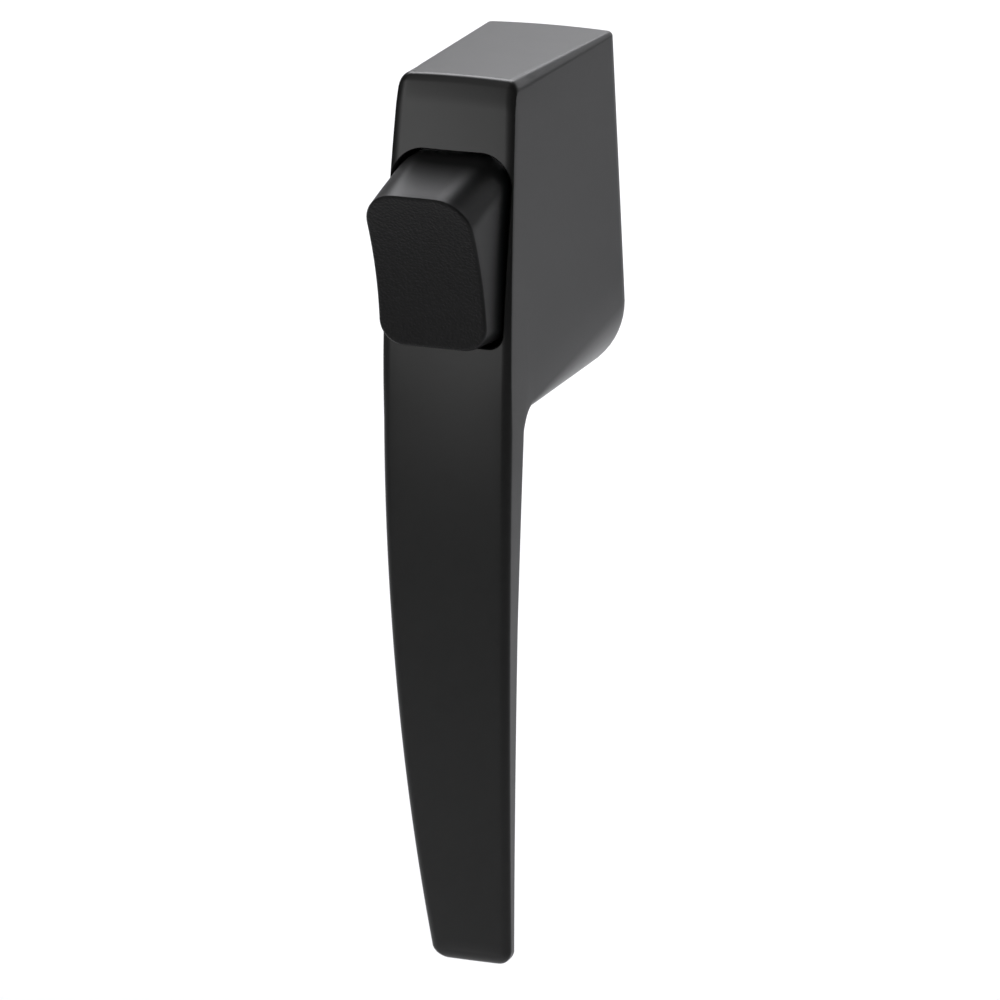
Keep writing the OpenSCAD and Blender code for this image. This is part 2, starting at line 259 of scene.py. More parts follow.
def lathe(name, profile, segments=64, x=0.0, z=0.0, sharp_deg=30):
    """A turned piece about the Y axis; the profile is [radius, reach] from end to end."""
    verts, rows = [], []
    for r, f in profile:
        if r < 1e-6:
            rows.append([len(verts)])
            verts.append((x, f, z))
            continue
        rows.append(list(range(len(verts), len(verts) + segments)))
        verts += [(x + r * math.cos(2 * math.pi * k / segments), f,
                   z + r * math.sin(2 * math.pi * k / segments)) for k in range(segments)]
    faces = []
    loop = profile[0][0] > 1e-6
    pairs = list(zip(rows, rows[1:])) + ([(rows[-1], rows[0])] if loop else [])
    for a, b in pairs:
        for k in range(segments):
            j = (k + 1) % segments
            if len(a) == 1 and len(b) == 1:
                continue
            if len(a) == 1:
                faces.append((a[0], b[j], b[k]))
            elif len(b) == 1:
                faces.append((a[k], a[j], b[0]))
            else:
                faces.append((a[k], a[j], b[j], b[k]))
    return new_object(name, verts, faces, sharp_deg)


def bar(name, r, f0, f1, x=0.0, z=0.0, segments=48):
    return lathe(name, [(0, f0), (r, f0), (r, f1), (0, f1)], segments, x, z)


def brick(name, x0, x1, f0, f1, z0, z1):
    return stand(name, [(x0, z0), (x1, z0), (x1, z1), (x0, z1)], f0, f1)


def thread(name, major, minor, pitch, f0, f1, x=0.0, z=0.0, segments=32, steps=7, ends=0.6, tail=()):
    """A closed solid with a helical thread on its outside, fading out at both ends. The tail
    adds plain round sections after it, as (reach, radius)."""
    count = max(2, round((f1 - f0) / pitch * steps))
    rings = []
    for i in range(count + 1):
        f = mix(f0, f1, i / count)
        ring = []
        for k in range(segments):
            phase = ((f - f0) / pitch + k / segments) % 1
            ridge = clamp01(1.35 - abs(phase - 0.5) * 3.4)
            fade = clamp01((f - f0) / ends) * clamp01((f1 - f) / ends)
            r = mix(minor, major, ridge * fade)
            a = 2 * math.pi * k / segments
            ring.append((x + r * math.cos(a), f, z + r * math.sin(a)))
        rings.append(ring)
    for f, r in tail:
        rings.append([(x + r * math.cos(2 * math.pi * k / segments), f,
                       z + r * math.sin(2 * math.pi * k / segments)) for k in range(segments)])
    return loft(name, rings, 50)


# ---------------------------------------------------------------- handle body
def body_sections():
    """[inner point, outer point, inner round, outer round, inset] of each section of the casting,
    from the door through the block, round the neck and down the blade."""
    rows = []
    rim = 0.3
    for i in range(4):
        a = math.radians(30 * i)
        rows.append([(rim * (1 - math.cos(a)), -BASE_BOTTOM), (rim * (1 - math.cos(a)), BASE_TOP),
                     BASE_HALF - 0.3, 0.8, rim * (1 - math.sin(a))])
    block_steps = 26
    for i in range(1, block_steps + 1):
        t = i / block_steps
        rows.append([(max(rim, NECK_F * t), mix(-BASE_BOTTOM, NECK_Z, t)),
                     (max(rim, FAN_F * t), BASE_TOP),
                     mix(BASE_HALF - 0.4, 1.6, t), mix(0.8, 1.8, t), 0])
    corner_f, corner_z = front_f(BASE_TOP) - EDGE_ROUND, BASE_TOP - EDGE_ROUND
    fan = [(mix(FAN_F, corner_f, i / 5), BASE_TOP) for i in range(1, 6)]
    fan += [(corner_f + EDGE_ROUND * math.sin(math.radians(a)),
             corner_z + EDGE_ROUND * math.cos(math.radians(a))) for a in range(9, 82, 9)]
    fan += [(front_f(z), z) for z in
            (mix(corner_z, NECK_Z - NECK_R, (i / 42) ** 0.95) for i in range(1, 43))]
    for i, point in enumerate(fan):
        t = (i + 1) / len(fan)
        a = math.radians(90 * t)
        rows.append([(NECK_F + NECK_R * math.sin(a), NECK_Z - NECK_R + NECK_R * math.cos(a)), point,
                     mix(1.6, 1.3, t), mix(2, EDGE_ROUND, clamp01(t * 2)), 0])
    blade_steps = 60
    for i in range(1, blade_steps + 1):
        t = i / blade_steps
        z = mix(NECK_Z - NECK_R, TIP_Z + TIP_R, t)
        rows.append([(back_f(z), z), (front_f(z), z), mix(1.3, 1, t), mix(EDGE_ROUND, 1.5, t), 0])
    for i in range(1, 11):
        a = math.radians(9 * i)
        z = TIP_Z + TIP_R - TIP_R * math.sin(a)
        g = TIP_R * (1 - math.cos(a))
        rows.append([(back_f(z) + 0.45 * g, z), (front_f(z) - 0.6 * g, z),
                     mix(0.9, 0.3, i / 10), mix(1.4, 0.3, i / 10), g])
    return rows


def body_ring(section):
    (pf, pz), (qf, qz), inner_r, outer_r, inset = section
    length = math.hypot(qf - pf, qz - pz)
    df, dz = (qf - pf) / length, (qz - pz) / length
    ri, ro = min(inner_r, length / 2 - 0.02), min(outer_r, length / 2 - 0.02)

    def width(t):
        return half_w(pf + df * t, pz + dz * t) - inset
    ix, ox = min(inner_r, width(ri)), min(outer_r, width(length - ro))
    half = [(mix(0, width(0) - ix, i / 4), 0) for i in range(4)]
    half += [(width(ri) - ix + ix * math.sin(math.radians(6 * i)),
              ri - ri * math.cos(math.radians(6 * i))) for i in range(16)]
    half += [(width(t), t) for t in (mix(ri, length - ro, i / 9) for i in range(1, 9))]
    half += [(width(length - ro) - ox + ox * math.cos(math.radians(7.5 * i)),
              length - ro + ro * math.sin(math.radians(7.5 * i))) for i in range(13)]
    half += [((width(length - ro) - ox) * (1 - i / 6), length) for i in range(1, 7)]
    both = half + [(-x, t) for x, t in half[-2:0:-1]]
    swell = CROWN * (0.5 if inset > 0 and qz < 0 else 1)
    top_w = half_w(qf, qz)
    ring = []
    for x, t in both:
        near = smooth01((t - length * 0.6) / (length * 0.4))
        c = swell * near * (1 - (x / top_w) ** 2) - CROWN * near
        ring.append((x, pf + df * (t + c), pz + dz * (t + c)))
    return ring


def outer_reach(x, z):
    """How far the front face stands from the door at x and z, with its rounded edge."""
    w = front_w(z)
    over = max(0.0, abs(x) - (w - EDGE_ROUND))
    drop = EDGE_ROUND - math.sqrt(max(0.0, EDGE_ROUND ** 2 - min(over, EDGE_ROUND) ** 2))
    return front_f(z) - CROWN * (x / w) ** 2 - drop


def opening_tool():
    """The cutter of the button's opening, flared at its mouth so that the rim comes out rounded."""
    w = BUTTON_HALF + BUTTON_GAP
    steps = 16
    base = outline(w, w - 0.4, BUTTON_TOP + BUTTON_GAP, BUTTON_BOTTOM - BUTTON_GAP, 5.4, 2.4, steps, 24, 14)
    n = len(base)
    normals = []
    for i, (x, z) in enumerate(base):
        (ax, az), (bx, bz) = base[i - 1], base[(i + 1) % n]
        tx, tz = bx - ax, bz - az
        size = math.hypot(tx, tz)
        normals.append((tz / size, -tx / size))
    rim = 0.18
    rings = [[(x, RIB_F, z) for x, z in base], [(x, 40.0, z) for x, z in base]]
    for a in [0, 15, 30, 45, 58, 70]:
        o = rim * (1 - math.cos(math.radians(a)))
        down = rim * (1 - math.sin(math.radians(a)))
        rings.append([(x + nx * o, outer_reach(x, z) - down, z + nz * o)
                      for (x, z), (nx, nz) in zip(base, normals)])
    out = rim * (1 - math.cos(math.radians(70))) + 0.3
    rings.append([(x + nx * out, outer_reach(x, z) + 0.3, z + nz * out)
                  for (x, z), (nx, nz) in zip(base, normals)])
    rings.append([(x + nx * out, 75.0, z + nz * out) for (x, z), (nx, nz) in zip(base, normals)])
    return loft("opening_tool", rings)


def hollow_tool():
    """The room inside the block, less the screw bosses, their webs and the plate's ribs."""
    rear = outline(BASE_TOP_HALF - WALL + 0.1, BASE_HALF - WALL, BASE_TOP - 2.4, -BASE_BOTTOM + WALL,
                   2, BASE_HALF - WALL - 0.02, 14)
    front = outline(8.3, 9.2, BASE_TOP - 2.6, NECK_Z + 3.9, 1.8, 3, 14)
    lean = math.radians(5.9)
    top_z, top_f = BASE_TOP - 2.6, front_f(BASE_TOP) - 3.3
    front = [(x, top_f + (top_z - z) * math.sin(lean), top_z - (top_z - z) * math.cos(lean))
             for x, z in front]
    tool = loft("hollow_tool", [[(x, -0.5, z) for x, z in rear], front])
    bevel(tool, 0.8, 3, 60)
    for side in (-1, 1):
        z = side * SCREW_Z
        web = (z + 1, z + 9) if side > 0 else (z - 9, z - 1)
        x = (6.5, 14.5) if side > 0 else (-14.5, -6.5)
        boss = lathe("boss_tool", [(0, 0), (3.1, 0), (3.4, 0.3), (3.6, 46), (0, 46)], 64, 0, z)
        cut(tool, boss, brick("web_tool", -0.9, 0.9, 0.8, 46, *web),
            brick("rib_tool", *x, PLATE_F[1], 46, -3, 3))
    return tool


def channel_tool():
    """The lightening channel along the back of the blade."""
    top, bottom, steps = -44.0, TIP_Z + 9, 40
    rings = []
    for i in range(steps + 1):
        t = i / steps
        z = mix(top, bottom, t)
        end = min(z - bottom, top - z)
        inset = 2.3 + 1.2 * (1 - math.sqrt(max(0.0, 1 - (1 - clamp01(end / 2.2)) ** 2)))
        w, floor = front_w(z) - inset, front_f(z) - 2.3
        depth = (floor - back_f(z)) + 6
        r = 0.9
        ring = [(w, floor - depth), (w, floor - r)]
        ring += [(w - r + r * math.cos(math.radians(a)), floor - r + r * math.sin(math.radians(a)))
                 for a in range(15, 91, 15)]
        ring += [(-x, f) for x, f in ring[::-1]]
        rings.append([(x, f, z) for x, f in ring])
    return loft("channel_tool", rings)


def handle_body():
    body = loft("cast_body", [body_ring(s) for s in body_sections()])
    cut(body, hollow_tool(), opening_tool(), channel_tool())
    sill = BUTTON_BOTTOM - BUTTON_GAP
    combine(body, brick("shelf", -SHELF_HALF, SHELF_HALF, RIB_F, SHELF_FRONT_F, sill - SHELF_T,
                        sill - SHELF_DROP), "UNION")
    for side in (-1, 1):
        hole = thread("hole_tool", SCREW_R + 0.35, SCREW_R, 0.7, -1.5, 16, 0, side * SCREW_Z, 28, 6)
        mouth = lathe("mouth_tool", [(0, -0.5), (2.5, -0.5), (1.7, 0.55), (0, 0.55)], 48, 0,
                      side * SCREW_Z)
        pilot = bar("pilot_tool", 1.25, PLATE_F[0] - 1, PLATE_F[1] + 9, side * PLATE_SCREW_X, 0, 32)
        cut(body, hole, mouth, pilot)
    tidy_mesh(body, 28)
    return body


# ---------------------------------------------------------------- thumb button
def face_reach(x, z):
    t = (z - BUTTON_BOTTOM) / (FACE_TOP - BUTTON_BOTTOM)
    sink = 0.1 * math.exp(-((x - 0.4) ** 2 + (z + 0.6) ** 2) / 0.5)
    return (mix(FACE_BOTTOM_F, FACE_TOP_F, t) - THUMB_HOLLOW * (1 - (2 * t - 1) ** 2)
            - 0.3 * (1 - (x / BUTTON_HALF) ** 2) - sink - FACE_INSET)


FACE_STEPS, FACE_SIDE, FACE_ACROSS = 14, 44, 37


def button_outline(v, g):
    u = clamp01((v - 0.34) / 0.66)
    return outline(mix(BUTTON_HALF, 9.25, u) - g, mix(BUTTON_HALF, 9.4, u) - g,
                   mix(BUTTON_TOP, FACE_TOP, u) - g, BUTTON_BOTTOM + g,
                   mix(5, 5.8, u) - g, mix(2.2, 4.2, u) - g * 0.9,
                   FACE_STEPS, FACE_SIDE, FACE_ACROSS)


def button_skin():
    """The button's outer skin: walls, a rounded rim and the hollowed thumb face as a grid."""
    stations = [(i / 16, 0, 0) for i in range(17)]
    stations += [(1, FACE_ROUND * (1 - math.cos(math.radians(a))), FACE_ROUND * math.sin(math.radians(a)))
                 for a in range(10, 91, 10)]
    stations += [(1, g, FACE_ROUND) for g in (1.0, 1.5, 2.2, 3.0, 3.6)]
    rings = [[(x, mix(SKIRT_F, face_reach(x, z) - FACE_ROUND, v) + rise, z)
              for x, z in button_outline(v, g)] for v, g, rise in stations]
    n = len(rings[0])
    verts = [p for ring in rings for p in ring]
    faces = [(i * n + k, i * n + (k + 1) % n, (i + 1) * n + (k + 1) % n, (i + 1) * n + k)
             for i in range(len(rings) - 1) for k in range(n)]
    faces.append(tuple(range(n)))
    last = (len(rings) - 1) * n
    first_left = FACE_STEPS + 1 + FACE_ACROSS
    rows = n // 2 - FACE_ACROSS
    grid = []
    for k in range(rows):
        right, left = last + (FACE_STEPS - k) % n, last + first_left + k
        if k == 0:
            grid.append([last + i for i in range(FACE_STEPS, first_left + 1)])
        elif k == rows - 1:
            span = list(range(left, left + FACE_ACROSS + 2))
            grid.append(span[::-1])
        else:
            row = [right]
            (xr, _, z), (xl, _, _) = verts[right], verts[left]
            for i in range(1, FACE_ACROSS + 1):
                x = mix(xr, xl, i / (FACE_ACROSS + 1))
                row.append(len(verts))
                verts.append((x, face_reach(x, z), z))
            grid.append(row + [left])
    faces += [(a[i], a[i + 1], b[i + 1], b[i]) for a, b in zip(grid, grid[1:])
              for i in range(FACE_ACROSS + 1)]
    return new_object("thumb_button", verts, faces, 40)


def push_button():
    button = button_skin()
    wall = 1.7
    w = BUTTON_HALF - wall
    inside = stand("inside_tool", outline(w, w, BUTTON_TOP - wall - 0.2, BUTTON_BOTTOM + wall, 3.4, 1.2,
                                          12), SKIRT_F - 1, WEB_F)
    pocket = stand("pocket_tool", outline(6, 6.6, 12.3, 6.4, 2, 0.6, 8), WEB_F - 1, WEB_F + 5)
    combine(inside, pocket, "UNION")
    stem = lathe("stem_tool", [(0, SKIRT_F - 2), (STEM_R - 0.5, SKIRT_F - 2), (STEM_R - 0.4, SKIRT_F),
                               (STEM_R, SKIRT_F + 0.6), (STEM_R, WEB_F + 1), (0, WEB_F + 1)], 64)
    cut(inside, stem)
    cut(button, inside, bar("bore_tool", 3.52, SKIRT_F - 3, INSERT_F[1] + 0.6, 0, 0, 56))
    tidy_mesh(button, 32)
    return button


# ---------------------------------------------------------------- inner pieces
def button_insert():
    (r, _), (f0, f1) = (INSERT_X[1], 0), INSERT_F
    bore = ROD_R + 0.02
    groove = 0.3
    profile = [(bore + 0.3, f0), (r - groove, f0), (r, f0 + 0.4), (r, f0 + 3), (r - groove, f0 + 3.3),
               (r - groove, f0 + 4.2), (r, f0 + 4.5), (r, f0 + 7.4), (r - groove, f0 + 7.7),
               (r - groove, f0 + 8.6), (r, f0 + 8.9), (r, f1 - 0.4), (r - groove, f1), (bore, f1),
               (bore, f0 + 0.3)]
    return lathe("threaded_insert", profile, 56)


def plunger_rod():
    """Turned push rod: chamfered free end, clip groove and a rolled thread at the button end."""
    free, inner = ROD_F
    thread_f = 29.4
    groove = (CLIP_F[0] - 0.05, CLIP_F[1] + 0.05)
    rod = lathe("push_rod", [(0, free), (ROD_R - 1.1, free), (ROD_R - 0.75, free + 0.12),
                             (ROD_R - 0.08, free + 0.8), (ROD_R, free + 1.0),
                             (ROD_R, groove[0] - 0.1), (ROD_R - 0.1, groove[0]),
                             (ROD_R - 0.5, groove[0]), (ROD_R - 0.5, groove[1]),
                             (ROD_R - 0.1, groove[1]), (ROD_R, groove[1] + 0.1),
                             (ROD_R, thread_f - 0.6), (ROD_R - 0.42, thread_f - 0.1),
                             (ROD_R - 0.42, thread_f + 0.6), (0, thread_f + 0.6)], 56)
    screw = thread("rod_thread", ROD_R - 0.06, ROD_R - 0.44, 0.8, thread_f, inner, 0, 0, 40, 8)
    combine(rod, screw, "UNION")
    tidy_mesh(rod, 40)
    return rod


def lock_nut():
    f0, f1 = NUT_F
    flats, tip = NUT_Z[1], NUT_X[1]
    points = [(tip * math.cos(math.radians(60 * i)), tip * math.sin(math.radians(60 * i)))
              for i in range(6)]
    nut = stand("hex_nut", points, f0, f1)
    shell = lathe("chamfer_tool", [(0, f0), (flats - 0.1, f0), (tip + 0.01, f0 + 0.42),
                                   (tip + 0.01, f1 - 0.42), (flats - 0.1, f1), (0, f1)], 72)
    combine(nut, shell, "INTERSECT")
    bore = lathe("nut_bore", [(0, f0 - 1), (ROD_R + 0.02, f0 - 1), (ROD_R + 0.02, f1 + 1), (0, f1 + 1)])
    cut(nut, bore)
    tidy_mesh(nut, 25)
    return nut


def return_spring():
    """A drawn-wire coil with its last turns closed at both ends."""
    wire = 0.4
    coil_r = SPRING_X[1] - wire
    f0, f1 = SPRING_F[0] + wire, SPRING_F[1] - wire
    turns, per_turn, sides = 10, 40, 12
    close = 1 / turns
    rows = []
    for i in range(turns * per_turn + 1):
        t = i / (turns * per_turn)
        run = (f1 - f0 - 4 * wire) / (1 - 2 * close)
        if t < close:
            rise = 2 * wire * t / close
        elif t > 1 - close:
            rise = f1 - f0 - 2 * wire * (1 - t) / close
        else:
            rise = 2 * wire + run * (t - close)
        a = 2 * math.pi * turns * t
        rows.append([((coil_r + wire * math.cos(b)) * math.sin(a), f0 + rise + wire * math.sin(b),
                      (coil_r + wire * math.cos(b)) * math.cos(a))
                     for b in (2 * math.pi * j / sides for j in range(sides))])
    return loft("return_coil", rows, 60)


def spring_seat():
    f0, f1 = SEAT_F
    r, bore, e = SEAT_X[1], ROD_R + 1.6, 0.15
    return lathe("spring_washer_seat", [(bore + e, f0), (r - e, f0), (r, f0 + e), (r, f1 - e),
                                        (r - e, f1), (bore + e, f1), (bore, f1 - e), (bore, f0 + e)], 72)


def guide_bush():
    f0, f1 = BUSH_F
    bore, sleeve, flange, nose = ROD_R + 0.06, 3.97, BUSH_X[1], 3.9
    seat0, seat1 = PLATE_F[1] + 0.01, SEAT_F[0] - 0.01
    e = 0.18
    return lathe("rod_bush", [(bore + 0.3, f0), (sleeve - e, f0), (sleeve, f0 + e), (sleeve, seat0),
                              (flange - e, seat0), (flange, seat0 + e), (flange, seat1 - e),
                              (flange - e, seat1), (nose, seat1), (nose, f1 - 0.4), (nose - 0.3, f1),
                              (bore + 0.3, f1), (bore, f1 - 0.3), (bore, f0 + 0.3)], 64)


def guide_plate():
    f0, f1 = PLATE_F
    w, top = PLATE_X[1], PLATE_Z[1]
    plate = stand("stamped_plate", outline(w, w, top, -top, 2.2, 2.2, 10), f0, f1)
    tools = [bar("plate_tool", 4, f0 - 1, f1 + 1, 0, 0, 64)]
    for side in (-1, 1):
        tools.append(bar("plate_tool", 1.5, f0 - 1, f1 + 1, side * PLATE_SCREW_X, 0, 32))
        tools.append(bar("plate_tool", 3.8, f0 - 1, f1 + 1, 0, side * 18.2, 96))
    cut(plate, *tools)
    bevel(plate, 0.16, 2, 50)
    tidy_mesh(plate, 40)
    return plate


def plate_screw(side):
    """One of the two pan-head screws, with a cross recess and a real thread."""
    x = side * PLATE_SCREW_X
    head = PLATE_F[0]
    dome = [(0, head - 1.3), (0.9, head - 1.26), (1.5, head - 1.08), (1.9, head - 0.72),
            (2.1, head - 0.3), (2.1, head - 0.05), (2.05, head), (1.23, head), (1.23, head + 0.7),
            (0, head + 0.7)]
    screw = lathe("plate_screw_" + ("right" if side > 0 else "left"), dome, 48, x, 0)
    shank = thread("shank", 1.2, 0.92, 0.75, head - 0.1, head + 7.2, x, 0, 25, 7,
                   tail=((head + 7.6, 0.5), (head + 8, 0.15)))
    combine(screw, shank, "UNION")
    for across in (True, False):
        long, short = (1.15, 0.2) if across else (0.2, 1.15)
        cut(screw, brick("recess", x - long, x + long, head - 1.5, head - 0.62, -short, short))
    tidy_mesh(screw, 38)
    return screw


def stop_washer():
    f0, f1 = WASHER_F
    r, bore, e = WASHER_X[1], ROD_R + 0.1, 0.15
    return lathe("nylon_stop_washer", [(bore + e, f0), (r - e, f0), (r, f0 + e), (r, f1 - e), (r - e, f1),
                                       (bore + e, f1), (bore, f1 - e), (bore, f0 + e)], 64)


def stop_clip():
    """A stamped E-clip that grips the rod's groove from above."""
    f0, f1 = CLIP_F
    clip = bar("e_clip", CLIP_X[1], f0, f1, 0, 0, 72)
    grip = ROD_R - 0.48
    throat = ROD_R - 0.55
    tools = [bar("clip_tool", grip, f0 - 1, f1 + 1, 0, 0, 48),
             brick("clip_tool", -throat, throat, f0 - 1, f1 + 1, -6, 0)]
    for a in (45, 135):
        reach = ROD_R + 0.5
        tools.append(bar("clip_tool", 1.1, f0 - 1, f1 + 1, reach * math.cos(math.radians(a)),
                         reach * math.sin(math.radians(a)), 32))
    cut(clip, *tools)
    bevel(clip, 0.07, 2, 50)
    tidy_mesh(clip, 40)
    return clip


# ---------------------------------------------------------------- materials
def new_material(name):
    """An empty node material: (material, nodes, link function, principled shader)."""
    material = bpy.data.materials.new(name)
    material.use_nodes = True
    tree = material.node_tree
    return material, tree.nodes, tree.links.new, tree.nodes["Principled BSDF"]


def noise(nodes, link, scale, detail=3.0, roughness=0.55, source=None):
    texture = nodes.new("ShaderNodeTexNoise")
    texture.inputs["Scale"].default_value = scale
    texture.inputs["Detail"].default_value = detail
    texture.inputs["Roughness"].default_value = roughness
    link(source, texture.inputs["Vector"])
    return texture.outputs["Fac"]


def coordinates(nodes, link, stretch=(1, 1, 1)):
    """Object coordinates, stretched along the axes."""
    place = nodes.new("ShaderNodeTexCoord")
    mapping = nodes.new("ShaderNodeMapping")
    mapping.inputs["Scale"].default_value = stretch
    link(place.outputs["Object"], mapping.inputs["Vector"])
    return mapping.outputs["Vector"]


def ramp(nodes, link, value, low, high, start=0.1, end=0.9):
    """value mapped to a colour or grey between low and high."""
    node = nodes.new("ShaderNodeValToRGB")
    node.color_ramp.elements[0].position = start
    node.color_ramp.elements[1].position = end
    for element, tone in zip(node.color_ramp.elements, (low, high)):
        element.color = (*tone, 1) if isinstance(tone, tuple) else (tone, tone, tone, 1)
    link(value, node.inputs["Fac"])
    return node.outputs["Color"]


def bump(nodes, link, height, distance, strength=1.0, normal=None):
    node = nodes.new("ShaderNodeBump")
    node.inputs["Strength"].default_value = strength
    node.inputs["Distance"].default_value = distance * MM
    link(height, node.inputs["Height"])
    if normal is not None:
        link(normal, node.inputs["Normal"])
    return node.outputs["Normal"]


def enamel():
    """Satin black enamel baked on a casting: a faint orange peel and slight gloss changes."""
    material, nodes, link, shader = new_material("satin_black_enamel")
    where = coordinates(nodes, link)
    tone = noise(nodes, link, 60, 4, 0.6, where)
    peel = noise(nodes, link, 900, 2, 0.5, where)
    link(ramp(nodes, link, tone, (0.0092, 0.0094, 0.0094), (0.0136, 0.0137, 0.0133)),
         shader.inputs["Base Color"])
    link(ramp(nodes, link, tone, 0.285, 0.33), shader.inputs["Roughness"])
    link(bump(nodes, link, peel, 0.006, 0.4), shader.inputs["Normal"])
    shader.inputs["IOR"].default_value = 1.42
    return material


def button_plastic():
    """Black moulded plastic: pebbled on the leaning thumb face, satin on its drawn sides."""
    material, nodes, link, shader = new_material("black_plastic")
    where = coordinates(nodes, link)
    geometry = nodes.new("ShaderNodeNewGeometry")
    split = nodes.new("ShaderNodeSeparateXYZ")
    link(geometry.outputs["True Normal"], split.inputs["Vector"])
    facing = nodes.new("ShaderNodeMapRange")
    facing.inputs["From Min"].default_value = -0.72
    facing.inputs["From Max"].default_value = -0.88
    link(split.outputs["Y"], facing.inputs["Value"])
    cells = nodes.new("ShaderNodeTexVoronoi")
    cells.feature = "SMOOTH_F1"
    cells.inputs["Scale"].default_value = 2100
    link(where, cells.inputs["Vector"])
    grit = noise(nodes, link, 3200, 3, 0.6, where)
    tone = noise(nodes, link, 90, 3, 0.6, where)
    mixed = nodes.new("ShaderNodeMix")
    mixed.data_type = "FLOAT"
    mixed.inputs[0].default_value = 0.5
    link(cells.outputs["Distance"], mixed.inputs[2])
    link(grit, mixed.inputs[3])
    height = nodes.new("ShaderNodeMath")
    height.operation = "MULTIPLY"
    link(mixed.outputs[0], height.inputs[0])
    link(facing.outputs["Result"], height.inputs[1])
    soft = bump(nodes, link, grit, 0.004, 0.3)
    link(bump(nodes, link, height.outputs["Value"], 0.30, 1.0, soft), shader.inputs["Normal"])
    link(ramp(nodes, link, tone, (0.0100, 0.0100, 0.0103), (0.0130, 0.0130, 0.0134)),
         shader.inputs["Base Color"])
    rough = nodes.new("ShaderNodeMapRange")
    rough.inputs["To Min"].default_value = 0.40
    rough.inputs["To Max"].default_value = 0.50
    link(facing.outputs["Result"], rough.inputs["Value"])
    link(rough.outputs["Result"], shader.inputs["Roughness"])
    shader.inputs["IOR"].default_value = 1.31
    return material


def metal(name, dark, light, rough_low, rough_high, stretch, scale=400.0, depth=0.006):
    """Bare or plated metal with fine marks drawn out along the work direction."""
    material, nodes, link, shader = new_material(name)
    where = coordinates(nodes, link, stretch)
    marks = noise(nodes, link, scale, 4, 0.65, where)
    patches = noise(nodes, link, 120, 3, 0.5, coordinates(nodes, link))
    link(ramp(nodes, link, patches, dark, light), shader.inputs["Base Color"])
    link(ramp(nodes, link, marks, rough_low, rough_high), shader.inputs["Roughness"])
    link(bump(nodes, link, marks, depth, 0.5), shader.inputs["Normal"])
    shader.inputs["Metallic"].default_value = 1.0
    return material


def nylon():
    """Natural nylon: creamy, slightly waxy, with faint flow marks."""
    material, nodes, link, shader = new_material("white_nylon")
    where = coordinates(nodes, link)
    flow = noise(nodes, link, 180, 4, 0.6, where)
    fine = noise(nodes, link, 2600, 2, 0.5, where)
    link(ramp(nodes, link, flow, (0.66, 0.645, 0.58), (0.74, 0.73, 0.67)), shader.inputs["Base Color"])
    link(ramp(nodes, link, fine, 0.38, 0.5), shader.inputs["Roughness"])
    link(bump(nodes, link, fine, 0.01, 0.4), shader.inputs["Normal"])
    shader.inputs["Subsurface Weight"].default_value = 0.08
    shader.inputs["Subsurface Radius"].default_value = (0.001, 0.001, 0.0008)
    return material


MATERIALS = {
    "satin_black_enamel": enamel(),
    "black_plastic": button_plastic(),
    "brass_insert": metal("brass_insert", (0.62, 0.42, 0.17), (0.78, 0.56, 0.26), 0.29, 0.42, (1, 6, 1)),
    "zinc_plated_steel": metal("zinc_plated_steel", (0.50, 0.52, 0.55), (0.66, 0.67, 0.68), 0.29, 0.42,
                               (1, 0.15, 1)),
    "spring_steel": metal("spring_steel", (0.40, 0.41, 0.43), (0.55, 0.56, 0.57), 0.285, 0.38,
                          (0.3, 1, 0.3), 900),
    "dark_spring_steel": metal("dark_spring_steel", (0.08, 0.078, 0.075), (0.14, 0.13, 0.125), 0.32, 0.5,
                               (1, 1, 1), 700),
    "white_nylon": nylon(),
}
SLOT_OF = {s["node"]: s["material_slot"] for s in RECORD["subparts"]}


def place(piece, node):
    """Gives a piece its node's material and slot, lets it ride on the node's body and stand for it."""
    slot = SLOT_OF[node]
    piece.data.materials.clear()
    piece.data.materials.append(MATERIALS[slot])
    body = next(b for b, nodes in RECORD["behaviour"]["bodies"].items() if node in nodes)
    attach(piece, body)
    return piece


PIECES = {
    "handle_body": [handle_body()],
    "push_button": [push_button()],
    "button_insert": [button_insert()],
    "plunger_rod": [plunger_rod()],
    "lock_nut": [lock_nut()],
    "return_spring": [return_spring()],
    "spring_seat": [spring_seat()],
    "guide_bush": [guide_bush()],
    "guide_plate": [guide_plate()],
    "plate_screws": [plate_screw(-1), plate_screw(1)],
    "stop_washer": [stop_washer()],
    "stop_clip": [stop_clip()],
}
for node, pieces in PIECES.items():
    for piece in pieces:
        place(piece, node)
        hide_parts(node)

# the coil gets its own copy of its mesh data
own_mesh(PIECES["return_spring"][0])


# ---------------------------------------------------------------- floor, light and camera
def floor_material():
    material, nodes, link, shader = new_material("pale_floor")
    grain = noise(nodes, link, 3, 3, 0.5, coordinates(nodes, link))
    link(ramp(nodes, link, grain, (0.90, 0.90, 0.90), (0.92, 0.92, 0.92)), shader.inputs["Base Color"])
    shader.inputs["Roughness"].default_value = 0.9
    return material


def studio_floor(drop=0.8, half_width=7.0, front=-5.0, back=4.6, bend=1.2, top=4.0):
    """A pale floor far below the handle that bends up into a plain backdrop behind it."""
    profile = [(front + (back - front) * i / 8, -drop) for i in range(9)]
    profile += [(back + bend * math.sin(math.radians(a)), -drop + bend * (1 - math.cos(math.radians(a))))
                for a in range(6, 91, 6)]
    profile.append((back + bend, top))
    verts = [(x, y, z) for y, z in profile for x in (-half_width, half_width)]
    faces = [(2 * i, 2 * i + 1, 2 * i + 3, 2 * i + 2) for i in range(len(profile) - 1)]
    mesh = bpy.data.meshes.new("studio_floor")
    mesh.from_pydata(verts, [], faces)
    mesh.shade_smooth()
    floor = bpy.data.objects.new("studio_floor", mesh)
    bpy.context.scene.collection.objects.link(floor)
    floor.data.materials.append(floor_material())


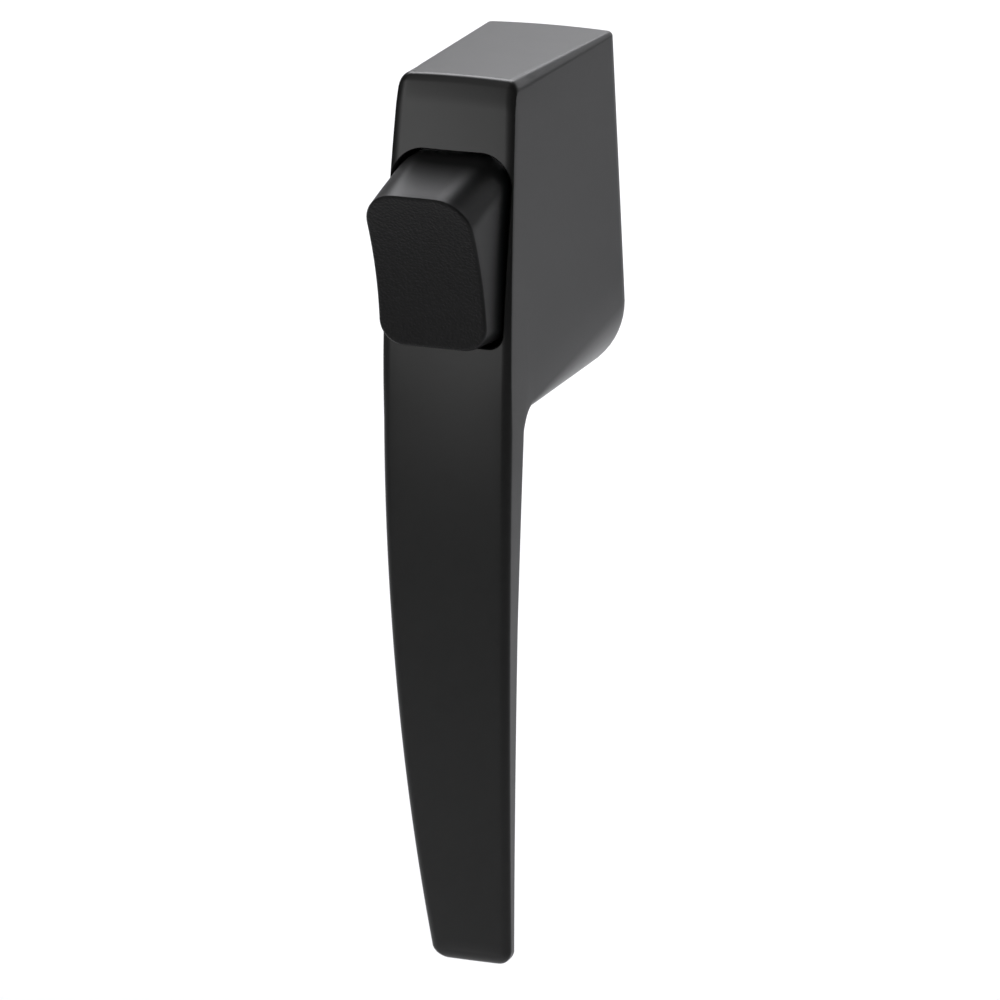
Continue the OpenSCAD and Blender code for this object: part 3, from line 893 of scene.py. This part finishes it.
def area_light(name, place_at, aim, size, power, tint=(1, 1, 1), roll=0):
    data = bpy.data.lights.new(name, "AREA")
    data.shape = "RECTANGLE"
    data.size, data.size_y = size
    data.energy = power
    data.color = tint
    light = bpy.data.objects.new(name, data)
    bpy.context.scene.collection.objects.link(light)
    light.location = place_at
    light.visible_camera = False
    turn = (Vector(aim) - Vector(place_at)).to_track_quat("-Z", "Y").to_matrix()
    light.rotation_euler = (turn @ Matrix.Rotation(math.radians(roll), 3, "Z")).to_euler()
    return light


def world_light(strength):
    world = bpy.data.worlds.new("studio")
    bpy.context.scene.world = world
    world.use_nodes = True
    background = world.node_tree.nodes["Background"]
    background.inputs["Color"].default_value = (1, 1, 1, 1)
    background.inputs["Strength"].default_value = strength


def camera():
    """A long lens at the photograph's viewing angle, aimed beside the middle of the handle."""
    azimuth, elevation, distance = math.radians(21.34), math.radians(15.73), 1.3445
    right = Vector((math.cos(azimuth), math.sin(azimuth), 0))
    toward = Vector((math.sin(azimuth) * math.cos(elevation), -math.cos(azimuth) * math.cos(elevation),
                     math.sin(elevation)))
    up = toward.cross(right)
    data = bpy.data.cameras.new("camera")
    data.sensor_width = 36
    data.lens = 288
    cam = bpy.data.objects.new("camera", data)
    bpy.context.scene.collection.objects.link(cam)
    turn = Matrix((right, up, toward)).transposed().to_4x4()
    cam.matrix_world = Matrix.Translation(right * -0.00831 + up * -0.0502 + toward * distance) @ turn
    bpy.context.scene.camera = cam


studio_floor()
world_light(0.12)
area_light("background", (-1.0, 3.1, 2.6), (-1.0, 3.1, 0), (2.5, 3.8), 158, tint=(0.97, 0.97, 1.0))
area_light("back_right", (1.05, 3.3, 1.05), (0, 0, 0), (2.6, 1.8), 10, tint=(0.97, 0.97, 1.0))
area_light("front_high", (-0.37, -0.82, 1.2), (0, 0, 0), (0.9, 1.9), 3.2)
area_light("front_strip", (-0.69, -1.55, 0.11), (0, 0, 0), (0.26, 1.0), 4.2, roll=33)
area_light("front_edge", (-0.1, -1.7, 0.0), (0, 0, -0.05), (0.14, 0.9), 0.15)
camera()
bpy.context.scene.view_settings.view_transform = "Standard"
